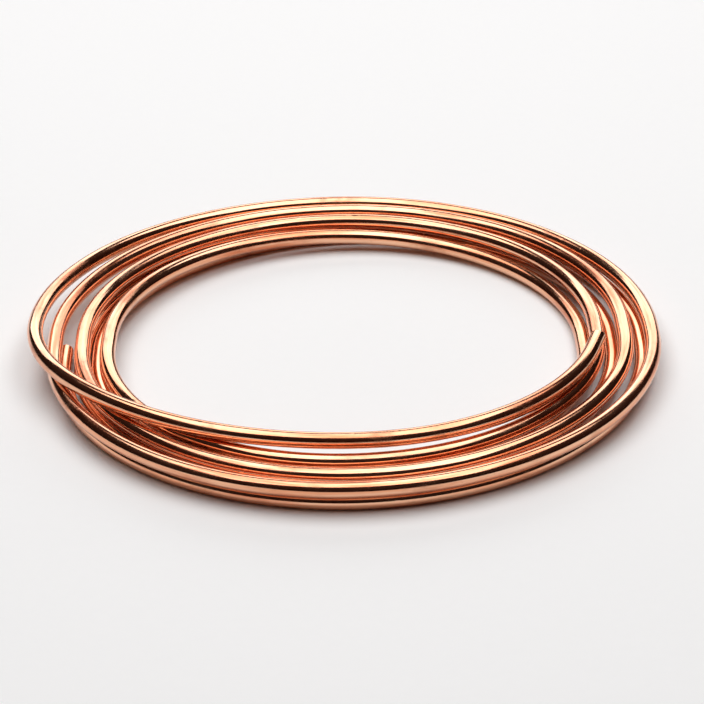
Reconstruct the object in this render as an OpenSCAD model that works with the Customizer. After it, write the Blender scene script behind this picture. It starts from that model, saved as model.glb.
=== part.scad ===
// Coil of soft copper tube: one length of tube wound in two flat layers, with a loose last turn
// lying over them. Millimetres, +Z up, the lower layer on the floor, the origin under the middle.

/* [Tube] */
// Outside diameter of the tube
tube_od = 9.52; // [6:0.01:16]
// Wall thickness of the tube
tube_wall = 0.81; // [0.5:0.01:1.6]
// Straight length left at each cut end
end_straight = 16; // [8:1:40]

/* [Layers] */
// Centre-line radius of the innermost turn
inner_radius = 141.5; // [100:0.5:250]
// Free gap between neighbouring turns of the lower layer, on the side of the free end
lower_gap = 7.72; // [0.5:0.04:10]
// Free gap between neighbouring turns of the lower layer, on the opposite side
lower_far_gap = 1.08; // [0.5:0.04:10]
// Free gap between neighbouring turns of the upper layer
upper_gap = 6.28; // [0.5:0.04:10]
// Free height between one layer and the next
layer_gap = 0.3; // [0.2:0.1:2]
// Straight run at each side, between the front and the back of a turn
side_straight = 14; // [2:0.5:40]
// Half turns in the lower layer
lower_half_turns = 5; // [1:1:9]
// Half turns in the upper layer
upper_half_turns = 5; // [1:2:9]

/* [Loose last turn] */
// How far it swings out past the upper layer at the back
back_swing = 14; // [8:0.1:30]
// How far it swings out past the upper layer on the side after that
side_swing = 4; // [0:0.1:20]
// Centre-line radius of the bend that crosses over the layers
cross_radius = 210; // [150:1:280]
// How far it lies outside the innermost turn where it has crossed to the inside
front_margin = -2; // [-5:0.1:20]
// How far its free end would lie outside the innermost turn if it ran on to the side
free_margin = 7.5; // [0:0.1:20]

/* [Hidden] */
$fn = 96;
copper = [0.80, 0.46, 0.30];
tube_id = tube_od - 2 * tube_wall;
layer_rise = tube_od + layer_gap;

// Each bend has to end exactly where the next one starts, so radii keep to a hundredth, or to a
// half where the bend is no quarter turn, tilts to a six-figure cosine, and angles are rounded up
function hundredth(v) = round(100 * v) / 100;
function half(v) = round(2 * v) / 2;
function tilt_of(sine) = acos(round(1e6 * sqrt(1 - sine * sine)) / 1e6);
function lapped(angle) = ceil(1e4 * angle) / 1e4;

// Lower layer, from its outer end inwards, and how far from its axis it passes each side
lower_step = (tube_od + lower_gap) / 2;
lower_far_step = (tube_od + lower_far_gap) / 2;
function lower_x(k) = inner_radius + k * (k % 2 == 0 ? lower_step : lower_far_step);
lower_radii = [for (k = [lower_half_turns - 1 : -1 : 0]) hundredth((lower_x(k) + lower_x(k + 1)) / 2)];
lower_outer = lower_x(lower_half_turns);
lower_odd = lower_half_turns % 2;

// Half turn that climbs from the inside of the lower layer to the inside of the upper one
climb_radius = hundredth(inner_radius);
climb_tilt = tilt_of(layer_rise / (2 * climb_radius));

// Upper layer, from the inside outwards
upper_step = (tube_od + upper_gap) / 2;
upper_radii = [for (k = [0 : upper_half_turns - 1]) hundredth(inner_radius + (k + 0.5) * upper_step)];
upper_outer = inner_radius + upper_half_turns * upper_step;

// Last turn: a short lead, a bend round the back beside the upper layer, a side bend that climbs, a
// bend that turns in and levels off, one that crosses over the layers, and one along the inside to
// the free end. Turning in and crossing make a quarter turn together.
turn_in = [0.8, 0.6];
cross = [0.6, 0.8];
free = [0.28, 0.96];
lead_straight = hundredth(side_straight / 2);
back_radius = hundredth(upper_outer + back_swing - lead_straight);
side_radius = hundredth(2 * upper_outer + side_swing - back_radius);
turn_in_radius = half((inner_radius + front_margin + lead_straight + back_radius - side_radius
    - (1 - turn_in[1]) * cross_radius) / turn_in[1]);
front_x = (1 - turn_in[0]) * turn_in_radius + turn_in[0] * cross_radius - upper_outer - side_swing;
free_radius = half(inner_radius + free_margin - front_x);

// The side bend leaves upwards with this slope, and turning in takes it back to level
slope = layer_rise / (side_radius + turn_in_radius * (1 - turn_in[0]) / turn_in[1]);

// Each bend of the last turn: radius, cosine and sine of its angle, and tilt about the tube before it
last_bends = [
    [back_radius, [0, 1], 0],
    [side_radius, [0, 1], tilt_of(slope)],
    [turn_in_radius, turn_in, -tilt_of(slope * turn_in[0] / turn_in[1] / sqrt(1 - slope * slope))],
    [half(cross_radius), cross, tilt_of(slope / turn_in[1])],
    [free_radius, free, 0]
];

// Middle of the coil's outline, measured from the axis of the front half turns
upper_x = 2 * climb_radius * (1 - cos(climb_tilt)) + upper_outer;
right_x = max(upper_x, lower_x(lower_half_turns - lower_odd));
left_x = upper_x - back_radius - side_radius;
middle_x = hundredth((right_x + left_x) / 2);
middle_y = hundredth((lead_straight + back_radius - upper_radii[upper_half_turns - 1]) / 2);

module tube_section() {
    difference() {
        circle(d = tube_od);
        circle(d = tube_id);
    }
}

// Every run starts at the origin, heads along +Y and turns left
module bend(radius, angle) {
    translate([-radius, 0, 0])
        rotate_extrude(angle = angle)
            translate([radius, 0])
                tube_section();
}

module straight(length) {
    rotate([-90, 0, 0])
        linear_extrude(length)
            tube_section();
}

// Half turns one after another, with a straight side between them
function run_x(radii, k) = k == 0 ? 0 : run_x(radii, k - 1) + (k % 2 == 0 ? 2 : -2) * radii[k - 1];

module half_turns(radii) {
    for (k = [0 : len(radii) - 1])
        translate([run_x(radii, k), -side_straight * (k % 2), 0])
            rotate([0, 0, 180 * (k % 2)]) {
                bend(radii[k], 180);
                if (k + 1 < len(radii))
                    translate([-2 * radii[k], 0, 0])
                        rotate([0, 0, 180])
                            straight(side_straight);
            }
}

// Where the tube has got to at the end of the last half turn
module after_half_turns(radii) {
    count = len(radii);
    translate([run_x(radii, count), -side_straight * ((count - 1) % 2), 0])
        rotate([0, 0, 180 * (count % 2)])
            children();
}

module after_straight(length) {
    straight(length);
    translate([0, length, 0])
        children();
}

// Bends one after another, each tilted about the tube first, with the children where the last one ends
module run(bends, k = 0) {
    if (k < len(bends)) {
        radius = bends[k][0];
        turn = bends[k][1];
        angle = acos(turn[0]);
        rotate([0, bends[k][2], 0]) {
            bend(radius, lapped(angle));
            translate([-radius * (1 - turn[0]), radius * turn[1], 0])
                rotate([0, 0, angle])
                    run(bends, k + 1)
                        children();
        }
    } else
        children();
}

module last_turn() {
    after_straight(lead_straight)
        run(last_bends)
            straight(end_straight);
}

module upper_layer() {
    rotate([0, climb_tilt, 0]) {
        bend(climb_radius, 180);
        translate([-2 * climb_radius, 0, 0])
            rotate([0, 0, 180])
                rotate([0, climb_tilt, 0])
                    after_straight(side_straight) {
                        half_turns(upper_radii);
                        after_half_turns(upper_radii)
                            last_turn();
                    }
    }
}

module tube_coil() {
    color(copper)
        translate([(1 - 2 * lower_odd) * lower_outer - middle_x,
                (1 - lower_odd) * side_straight - middle_y, tube_od / 2])
            rotate([0, 0, 180 * lower_odd]) {
                translate([0, -end_straight, 0])
                    straight(end_straight);
                half_turns(lower_radii);
                after_half_turns(lower_radii)
                    after_straight(side_straight)
                        upper_layer();
            }
}

tube_coil();
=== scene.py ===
import math

import bpy
import numpy as np
from mathutils import Matrix


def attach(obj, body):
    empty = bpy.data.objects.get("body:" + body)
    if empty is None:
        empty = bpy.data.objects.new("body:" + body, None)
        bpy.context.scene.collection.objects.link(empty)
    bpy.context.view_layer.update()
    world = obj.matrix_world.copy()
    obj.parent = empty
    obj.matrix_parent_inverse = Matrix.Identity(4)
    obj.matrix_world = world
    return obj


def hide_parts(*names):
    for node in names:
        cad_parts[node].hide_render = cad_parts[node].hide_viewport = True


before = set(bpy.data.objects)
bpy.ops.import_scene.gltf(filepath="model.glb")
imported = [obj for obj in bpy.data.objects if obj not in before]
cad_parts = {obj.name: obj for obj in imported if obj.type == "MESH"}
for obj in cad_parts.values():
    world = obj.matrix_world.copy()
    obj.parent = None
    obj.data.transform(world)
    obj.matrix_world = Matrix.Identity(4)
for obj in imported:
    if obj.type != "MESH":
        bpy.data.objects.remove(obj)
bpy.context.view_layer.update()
print("frame: nodes", sorted(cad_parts))

scene = bpy.context.scene
scene.view_settings.view_transform = "Standard"

millimetre = 0.001

coilWinding = {  # lengths in millimetres, the same route as the solid
    "tubeDiameter": 9.52,
    "tubeWall": 0.81,
    "endStraight": 16.0,
    "innerRadius": 141.5,
    "lowerStep": 8.62,       # how much wider each half turn comes round, on the free end's side
    "lowerFarStep": 5.30,    # and on the opposite side
    "lowerHalfTurns": 5,
    "upperStep": 7.90,       # the same on both sides
    "upperHalfTurns": 5,
    "sideStraight": 14.0,
    "layerRise": 9.82,
    "backRadius": 188.0,
    "sideRadius": 178.0,
    "turnInRadius": 121.0,
    "turnIn": (0.8, 0.6),    # cosine and sine of the angle it turns
    "crossRadius": 210.0,
    "crossCosine": 0.6,
    "freeRadius": 142.0,
    "freeCosine": 0.28,
    "axis": (1.83, -8.97),   # where the layers have their middle
}

coilMake = {  # lengths in millimetres
    "ringSpacing": 6.0,
    "sides": 36,
    "lipChamfer": 0.30,      # outer edge of a cut end
    "boreChamfer": 0.18,     # inner edge of a cut end
    "lipRings": (0.3, 0.6, 1.5),    # how far from a cut end the first rings lie
    "strayWidth": 0.9,       # slow sideways stray of the turns
    "strayLength": 620.0,
    # each wave: share of the length, phase, share of the width
    "strayWaves": ((1.0, 0.7, 0.625), (0.57, 2.1, 0.375)),
    "kinkWidth": 0.10,       # small waves left from handling
    "kinkLength": 95.0,
    "kinkWaves": ((1.0, 1.3, 0.50), (1.873, 1.77, 0.25), (1.08, 4.91, 0.25)),
    "strayFade": 160.0,      # the ends stay where the solid has them
}


# A turn to the left, about the up axis
def turnedBy(angle):
    c, s = math.cos(angle), math.sin(angle)
    return np.array([[c, -s, 0.0], [s, c, 0.0], [0.0, 0.0, 1.0]])


# A lean about the heading
def tiltedBy(angle):
    c, s = math.cos(angle), math.sin(angle)
    return np.array([[c, 0.0, s], [0.0, 1.0, 0.0], [-s, 0.0, c]])


# How far out the lower layer passes on the free end's side for even k, on the opposite side for odd k
def lowerReach(winding, k):
    return winding["innerRadius"] + k * (winding["lowerFarStep"] if k % 2 else winding["lowerStep"])


# The runs of the tube from its tail to its free end: ("bend", radius, angle), ("straight", length)
# and ("tilt", angle), which leans the next bends about the tube's own heading
def coilRuns(winding):
    half, quarter = math.pi, math.pi / 2
    inner, rise = winding["innerRadius"], winding["layerRise"]
    reaches = [lowerReach(winding, k) for k in range(winding["lowerHalfTurns"] + 1)]
    lower = [(near + far) / 2 for near, far in zip(reaches, reaches[1:])]
    upper = [inner + (k + 0.5) * winding["upperStep"] for k in range(winding["upperHalfTurns"])]
    end, side = ("straight", winding["endStraight"]), ("straight", winding["sideStraight"])
    climb = ("tilt", math.asin(rise / (2 * inner)))
    c, s = winding["turnIn"]
    slope = rise / (winding["sideRadius"] + winding["turnInRadius"] * (1 - c) / s)
    runs = [end]
    for radius in reversed(lower):
        runs += [("bend", radius, half), side]
    runs += [climb, ("bend", inner, half), climb]
    for radius in upper:
        runs += [side, ("bend", radius, half)]
    runs += [("straight", winding["sideStraight"] / 2), ("bend", winding["backRadius"], quarter)]
    runs += [("tilt", math.asin(slope)), ("bend", winding["sideRadius"], quarter)]
    runs += [("tilt", -math.asin(slope * c / s)), ("bend", winding["turnInRadius"], math.acos(c))]
    runs += [("tilt", math.asin(slope / s))]
    runs += [("bend", winding["crossRadius"], math.acos(winding["crossCosine"]))]
    runs += [("bend", winding["freeRadius"], math.acos(winding["freeCosine"])), end]
    return runs


# A bend is p = start + r ((cos a - 1) right + sin a heading), a straight is p = start + t heading;
# each run starts in the place and with the axes (right, heading, up) in which the last one ended
def coilRoute(winding, spacing):
    odd = winding["lowerHalfTurns"] % 2
    outer, tail = lowerReach(winding, winding["lowerHalfTurns"]), winding["endStraight"]
    start = (-outer, tail) if odd else (outer, winding["sideStraight"] - tail)
    place = np.array([*start, winding["tubeDiameter"] / 2]) + np.array([*winding["axis"], 0.0])
    axes = turnedBy(math.pi * odd)
    points, rights, ups, lengths, gone = [], [], [], [], 0.0
    for kind, *sizes in coilRuns(winding):
        if kind == "tilt":
            axes = axes @ tiltedBy(sizes[0])
            continue
        right, heading, up = axes.T
        runLength = sizes[0] * sizes[1] if kind == "bend" else sizes[0]
        steps = max(2, round(runLength / spacing))
        t = np.arange(steps)[:, None] / steps
        if kind == "bend":
            radius, a = sizes[0], sizes[1] * t
            points.append(place + radius * ((np.cos(a) - 1) * right + np.sin(a) * heading))
            rights.append(np.cos(a) * right + np.sin(a) * heading)
            a = sizes[1]
            place = place + radius * ((math.cos(a) - 1) * right + math.sin(a) * heading)
            axes = axes @ turnedBy(a)
        else:
            points.append(place + runLength * t * heading)
            rights.append(right + 0 * t)
            place = place + runLength * heading
        ups.append(up + 0 * t)
        lengths.append(gone + runLength * t[:, 0])
        gone += runLength
    points.append(place[None])
    rights.append(axes[:, 0][None])
    ups.append(axes[:, 2][None])
    lengths.append(np.array([gone]))
    return [np.concatenate(rows) for rows in (points, rights, ups, lengths)]


# A sum of sines of s, each with its own wavelength, phase and weight
def waveSum(s, length, waves):
    turned = 2 * math.pi * s / length
    return sum(weight * np.sin(turned / share + phase) for share, phase, weight in waves)


# Sideways stray at a length s: slow waves and small ones, faded out at both ends
def coilStray(make, s):
    slow = make["strayWidth"] * waveSum(s, make["strayLength"], make["strayWaves"])
    small = make["kinkWidth"] * waveSum(s, make["kinkLength"], make["kinkWaves"])
    ease = np.clip(np.minimum(s, s[-1] - s) / make["strayFade"], 0, 1)
    return ease * ease * (3 - 2 * ease) * (slow + small)


# The section is a circle, p = centre + r (cos b right + sin b up). It goes out along the outside,
# over the lip at the free end, back along the bore and over the lip at the tail, so it closes.
def coilSurface(winding, make):
    points, rights, ups, s = coilRoute(winding, make["ringSpacing"])
    points = points + coilStray(make, s)[:, None] * rights
    outside = winding["tubeDiameter"] / 2
    bore, total = outside - winding["tubeWall"], s[-1]
    near = np.array(make["lipRings"])
    clear = near[-1] + make["lipChamfer"]
    run = np.concatenate([near, s[(s > clear) & (s < total - clear)], total - near[::-1]])
    lip = np.array([outside - make["lipChamfer"], bore + make["boreChamfer"]])
    along = np.concatenate([run, [total, total], run[::-1], [0.0, 0.0]])
    radius = np.concatenate([np.full(run.size, outside), lip, np.full(run.size, bore), lip[::-1]])

    # Rows of the route, read off at every ring
    def at(rows):
        return np.stack([np.interp(along, s, rows[:, k]) for k in range(3)], axis=1)

    b = 2 * math.pi * np.arange(make["sides"]) / make["sides"]
    aim = np.cos(b)[None, :, None] * at(rights)[:, None] + np.sin(b)[None, :, None] * at(ups)[:, None]
    grid = at(points)[:, None] + radius[:, None, None] * aim
    lengthwise = np.stack([np.cos(b) * outside + 0 * along[:, None],
                           np.sin(b) * outside + 0 * along[:, None],
                           along[:, None] + 0 * b], axis=2)
    inside = (radius < (outside + bore) / 2)[:, None] + 0.0 * b
    fromEnd = np.minimum(along, total - along)[:, None] + 0.0 * b
    return grid, lengthwise, inside, fromEnd


# Closed both ways: the last ring joins the first, and the last side joins the first
def closedGridFaces(rings, sides):
    i, j = np.meshgrid(np.arange(rings), np.arange(sides), indexing="ij")
    nextI, nextJ = (i + 1) % rings, (j + 1) % sides
    corners = [i * sides + j, nextI * sides + j, nextI * sides + nextJ, i * sides + nextJ]
    return np.stack(corners, axis=2).reshape(-1, 4)


def meshFromArrays(name, vertices, faces):
    mesh = bpy.data.meshes.new(name)
    mesh.vertices.add(len(vertices))
    mesh.vertices.foreach_set("co", np.ascontiguousarray(vertices, dtype=np.float32).ravel())
    mesh.loops.add(faces.size)
    mesh.loops.foreach_set("vertex_index", faces.astype(np.int32).ravel())
    mesh.polygons.add(len(faces))
    mesh.polygons.foreach_set("loop_start", np.arange(0, faces.size, faces.shape[1], dtype=np.int32))
    mesh.polygons.foreach_set("use_smooth", np.ones(len(faces), dtype=bool))
    mesh.update(calc_edges=True)
    mesh.validate()
    return mesh


def addPiece(name, mesh):
    piece = bpy.data.objects.new(name, mesh)
    scene.collection.objects.link(piece)
    return piece


def pointAttribute(mesh, name, kind, field, values):
    layer = mesh.attributes.new(name, kind, "POINT")
    layer.data.foreach_set(field, np.ascontiguousarray(values, dtype=np.float32).ravel())


grid, lengthwise, inside, fromEnd = coilSurface(coilWinding, coilMake)
coilFaces = closedGridFaces(*grid.shape[:2])
coilMesh = meshFromArrays("copperTube", grid.reshape(-1, 3) * millimetre, coilFaces)
pointAttribute(coilMesh, "lengthwise", "FLOAT_VECTOR", "vector", lengthwise * millimetre)
pointAttribute(coilMesh, "boreSide", "FLOAT", "value", inside)
pointAttribute(coilMesh, "fromEnd", "FLOAT", "value", fromEnd * millimetre)
copperTube = addPiece("copper_tube", coilMesh)
print("coil: rings", grid.shape[0], "sides", grid.shape[1], "triangles", 2 * len(coilFaces))


def newMaterial(name):
    material = bpy.data.materials.new(name)
    material.use_nodes = True
    tree = material.node_tree
    return material, tree, tree.nodes["Principled BSDF"]


# A setting goes to the socket of that name, or else to the node itself
def addNode(tree, kind, **settings):
    node = tree.nodes.new(kind)
    for key, value in settings.items():
        if key in node.inputs:
            node.inputs[key].default_value = value
        else:
            setattr(node, key, value)
    return node


def addNoise(tree, vector, scale, detail, roughness):
    node = addNode(tree, "ShaderNodeTexNoise", Scale=scale, Detail=detail, Roughness=roughness)
    tree.links.new(vector, node.inputs["Vector"])
    return node.outputs["Fac"]


# Noise with one scale around the tube and another along it
def tubeNoise(tree, vector, around, along, detail, roughness):
    node = addNode(tree, "ShaderNodeMapping", Scale=(around, around, along))
    tree.links.new(vector, node.inputs["Vector"])
    return addNoise(tree, node.outputs["Vector"], 1.0, detail, roughness)


# Goes smoothly from toLow to toHigh while the input goes from low to high
def spread(tree, value, low, high, toHigh=1.0, toLow=0.0):
    node = addNode(tree, "ShaderNodeMapRange", interpolation_type="SMOOTHSTEP")
    tree.links.new(value, node.inputs["Value"])
    for key, number in (("From Min", low), ("From Max", high), ("To Min", toLow), ("To Max", toHigh)):
        node.inputs[key].default_value = number
    return node.outputs["Result"]


def worked(tree, operation, first, second):
    node = addNode(tree, "ShaderNodeMath", operation=operation)
    for socket, value in zip(node.inputs, (first, second)):
        if isinstance(value, (int, float)):
            socket.default_value = value
        else:
            tree.links.new(value, socket)
    return node.outputs["Value"]


# A value plus others, each of those times its weight
def weighed(tree, total, parts):
    for value, weight in parts:
        total = worked(tree, "ADD", total, worked(tree, "MULTIPLY", value, weight))
    return total


# The first colour where the mask is nought, the second where it is one
def tinted(tree, mask, first, second):
    node = addNode(tree, "ShaderNodeMix", data_type="RGBA")
    tree.links.new(mask, node.inputs["Factor"])
    colours = [socket for socket in node.inputs if socket.type == "RGBA"]
    for socket, value in zip(colours, (first, second)):
        if isinstance(value, tuple):
            socket.default_value = (*value, 1.0)
        else:
            tree.links.new(value, socket)
    return [socket for socket in node.outputs if socket.type == "RGBA"][0]


copperFinish = {
    "bright": (0.93, 0.54, 0.35),
    "deep": (0.83, 0.365, 0.20),
    "flush": (0.65, 0.18, 0.08),         # reddened streaks left by annealing
    "tarnish": (0.40, 0.14, 0.07),
    "boreTone": (0.45, 0.19, 0.09),
    "tarnishStrength": 0.65,
    "boreStrength": 0.8,
    "freshCut": (0.0002, 0.0012),        # metres from a cut end over which the cut metal fades
    "gloss": 0.05,                       # roughness of clean metal, smudges and tarnish
    "smudged": 0.14,
    "dull": 0.20,
    "smudgeSpread": (0.30, 0.75),        # noise at which the metal is clean, and fully smudged
    "streakDulling": 0.08,
    "lineDulling": 0.06,
    "lineRelief": 0.12,                  # shares of the relief height
    "bandRelief": 0.35,
    "nickRelief": 0.9,
    "reliefHeight": 0.00012,             # metres
    "reliefStrength": 0.35,
    "patches": (26.0, 5.0, 0.6),         # repeats in a metre, detail, roughness
    "patchMask": (0.46, 0.72),           # noise at which a patch begins, and is full
}

# Noise marks on the tube: repeats in a metre around and along it, detail, roughness; then where the
# mask of each mark begins, where it is full, and how strong it is
copperMarks = {
    "lines": ((2600.0, 9.0, 4.0, 0.6), (0.54, 0.70, 0.55)),
    "bands": ((420.0, 14.0, 3.0, 0.5), (0.35, 0.68, 1.0)),
    "streaks": ((190.0, 11.0, 5.0, 0.6), (0.48, 0.66, 0.80)),
    "smudges": ((110.0, 55.0, 5.0, 0.65), (0.38, 0.66, 1.0)),
    "specks": ((900.0, 420.0, 2.0, 0.5), (0.70, 0.80, 0.55)),
    "nicks": ((330.0, 120.0, 1.0, 0.5), (0.70, 0.84, 1.0)),
}


def copperMaterial(finish, marks):
    material, tree, shader = newMaterial("drawnCopper")
    link = tree.links.new
    place = addNode(tree, "ShaderNodeTexCoord").outputs["Object"]
    along = addNode(tree, "ShaderNodeAttribute", attribute_name="lengthwise").outputs["Vector"]
    bore = addNode(tree, "ShaderNodeAttribute", attribute_name="boreSide").outputs["Fac"]
    fromEnd = addNode(tree, "ShaderNodeAttribute", attribute_name="fromEnd").outputs["Fac"]

    noise, mask = {}, {}
    for name, (grain, edge) in marks.items():
        noise[name] = tubeNoise(tree, along, *grain)
        mask[name] = spread(tree, noise[name], *edge)
    patchMask = spread(tree, addNoise(tree, place, *finish["patches"]), *finish["patchMask"])
    dullMask = worked(tree, "MULTIPLY", patchMask, mask["smudges"])
    tarnishMask = worked(tree, "MULTIPLY", dullMask, finish["tarnishStrength"])
    freshMask = spread(tree, fromEnd, *finish["freshCut"], toHigh=0.0, toLow=1.0)
    boreMask = worked(tree, "MULTIPLY", bore, finish["boreStrength"])

    tone = tinted(tree, mask["bands"], finish["bright"], finish["deep"])
    tone = tinted(tree, mask["streaks"], tone, finish["flush"])
    tone = tinted(tree, mask["lines"], tone, finish["deep"])
    tone = tinted(tree, tarnishMask, tone, finish["tarnish"])
    tone = tinted(tree, mask["specks"], tone, finish["tarnish"])
    tone = tinted(tree, freshMask, tone, finish["bright"])
    tone = tinted(tree, boreMask, tone, finish["boreTone"])
    link(tone, shader.inputs["Base Color"])

    dulling = [(dullMask, finish["dull"] - finish["gloss"]),
               (mask["streaks"], finish["streakDulling"]),
               (noise["lines"], finish["lineDulling"])]
    rough = spread(tree, noise["smudges"], *finish["smudgeSpread"], finish["smudged"], finish["gloss"])
    link(weighed(tree, rough, dulling), shader.inputs["Roughness"])

    relief = [(noise["bands"], finish["bandRelief"]), (mask["nicks"], -finish["nickRelief"])]
    height = worked(tree, "MULTIPLY", noise["lines"], finish["lineRelief"])
    strength, distance = finish["reliefStrength"], finish["reliefHeight"]
    bump = addNode(tree, "ShaderNodeBump", Strength=strength, Distance=distance)
    link(weighed(tree, height, relief), bump.inputs["Height"])
    link(bump.outputs["Normal"], shader.inputs["Normal"])

    shader.inputs["Metallic"].default_value = 1.0
    return material


copperTube.data.materials.append(copperMaterial(copperFinish, copperMarks))
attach(copperTube, "root")
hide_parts("tube_coil")
print("material: drawn copper")

studio = {  # lengths in metres, leans in degrees
    "floorReach": 9.0,
    "floorTone": (0.93, 0.93, 0.93),
    "floorShade": 0.985,         # how dark the faint grain of the floor gets
    "floorGrain": (160.0, 3.0, 0.5),        # repeats in a metre, detail, roughness
    "floorRoughness": 0.75,
    "floorSpecular": 0.2,
    "overhead": {"size": (3.4, 3.0), "place": (0.0, 0.2, 2.4), "lean": 0.0, "glow": 2.38},
    "behind": {"size": (3.4, 1.3), "place": (0.0, 2.7, 1.2), "lean": -66.0, "glow": 2.15},
    "ceilingTone": (0.036, 0.022, 0.019),   # the room is dim and a little warm
    "horizonTone": (0.012, 0.007, 0.006),
    "ceilingFrom": 0.8,          # height, of 1 straight up, at which the ceiling's tone is reached
}


# The floor is a square of four corners at height nought
def studioFloor(setting):
    corners = np.array([[-1, -1, 0], [1, -1, 0], [1, 1, 0], [-1, 1, 0]]) * setting["floorReach"]
    floor = addPiece("studio_floor", meshFromArrays("studioFloor", corners, np.array([[0, 1, 2, 3]])))
    material, tree, shader = newMaterial("paleFloor")
    place = addNode(tree, "ShaderNodeTexCoord").outputs["Object"]
    grain = addNoise(tree, place, *setting["floorGrain"])
    shaded = tuple(setting["floorShade"] * value for value in setting["floorTone"])
    tree.links.new(tinted(tree, grain, shaded, setting["floorTone"]), shader.inputs["Base Color"])
    shader.inputs["Roughness"].default_value = setting["floorRoughness"]
    shader.inputs["Specular IOR Level"].default_value = setting["floorSpecular"]
    floor.data.materials.append(material)


# A softbox faces down, leaning about X; the brightness of its face is power / (pi * area)
def softbox(name, box):
    lamp = bpy.data.lights.new(name, "AREA")
    lamp.shape = "RECTANGLE"
    lamp.size, lamp.size_y = box["size"]
    lamp.energy = box["glow"] * math.pi * lamp.size * lamp.size_y
    holder = bpy.data.objects.new(name, lamp)
    holder.location = box["place"]
    holder.rotation_euler = (math.radians(box["lean"]), 0.0, 0.0)
    scene.collection.objects.link(holder)


# The room is darkest at the horizon and a little brighter overhead
def studioRoom(setting):
    world = bpy.data.worlds.new("studioRoom")
    world.use_nodes = True
    scene.world = world
    tree = world.node_tree
    direction = addNode(tree, "ShaderNodeTexCoord").outputs["Generated"]
    split = addNode(tree, "ShaderNodeSeparateXYZ")
    tree.links.new(direction, split.inputs["Vector"])
    height = spread(tree, split.outputs["Z"], 0.0, setting["ceilingFrom"])
    tone = tinted(tree, height, setting["horizonTone"], setting["ceilingTone"])
    tree.links.new(tone, tree.nodes["Background"].inputs["Color"])


photoCamera = {  # lengths in metres, angles in degrees
    "aimHeight": 0.008,
    "aimOffset": (6.0, -1.0),    # pixels from the aim to the middle of the image, right and up
    "elevation": 27.5,
    "distance": 1.875,
    "roll": 1.6,
    "focalPixels": 3150.0,
    "imagePixels": 704.0,
}


# The camera aims at the middle of the layers, stands back from there, and leans by the roll
def addCamera(view, middle):
    aim = np.array([*middle, view["aimHeight"]])
    e, r = math.radians(view["elevation"]), math.radians(view["roll"])
    back = np.array([0.0, -math.cos(e), math.sin(e)])
    level, rise = np.array([1.0, 0.0, 0.0]), np.array([0.0, math.sin(e), math.cos(e)])
    right = level * math.cos(r) - rise * math.sin(r)
    up = level * math.sin(r) + rise * math.cos(r)
    shift = np.array(view["aimOffset"]) * view["distance"] / view["focalPixels"]
    place = aim + shift[0] * right + shift[1] * up + view["distance"] * back
    lens = bpy.data.cameras.new("photoCamera")
    lens.lens = lens.sensor_width * view["focalPixels"] / view["imagePixels"]
    camera = bpy.data.objects.new("photoCamera", lens)
    pose = np.eye(4)
    pose[:3] = np.stack([right, up, back, place], axis=1)
    camera.matrix_world = Matrix(pose.tolist())
    scene.collection.objects.link(camera)
    scene.camera = camera


studioFloor(studio)
softbox("overheadSoftbox", studio["overhead"])
softbox("backSoftbox", studio["behind"])
studioRoom(studio)
addCamera(photoCamera, np.array(coilWinding["axis"]) * millimetre)
print("studio: floor, softboxes, room and camera")
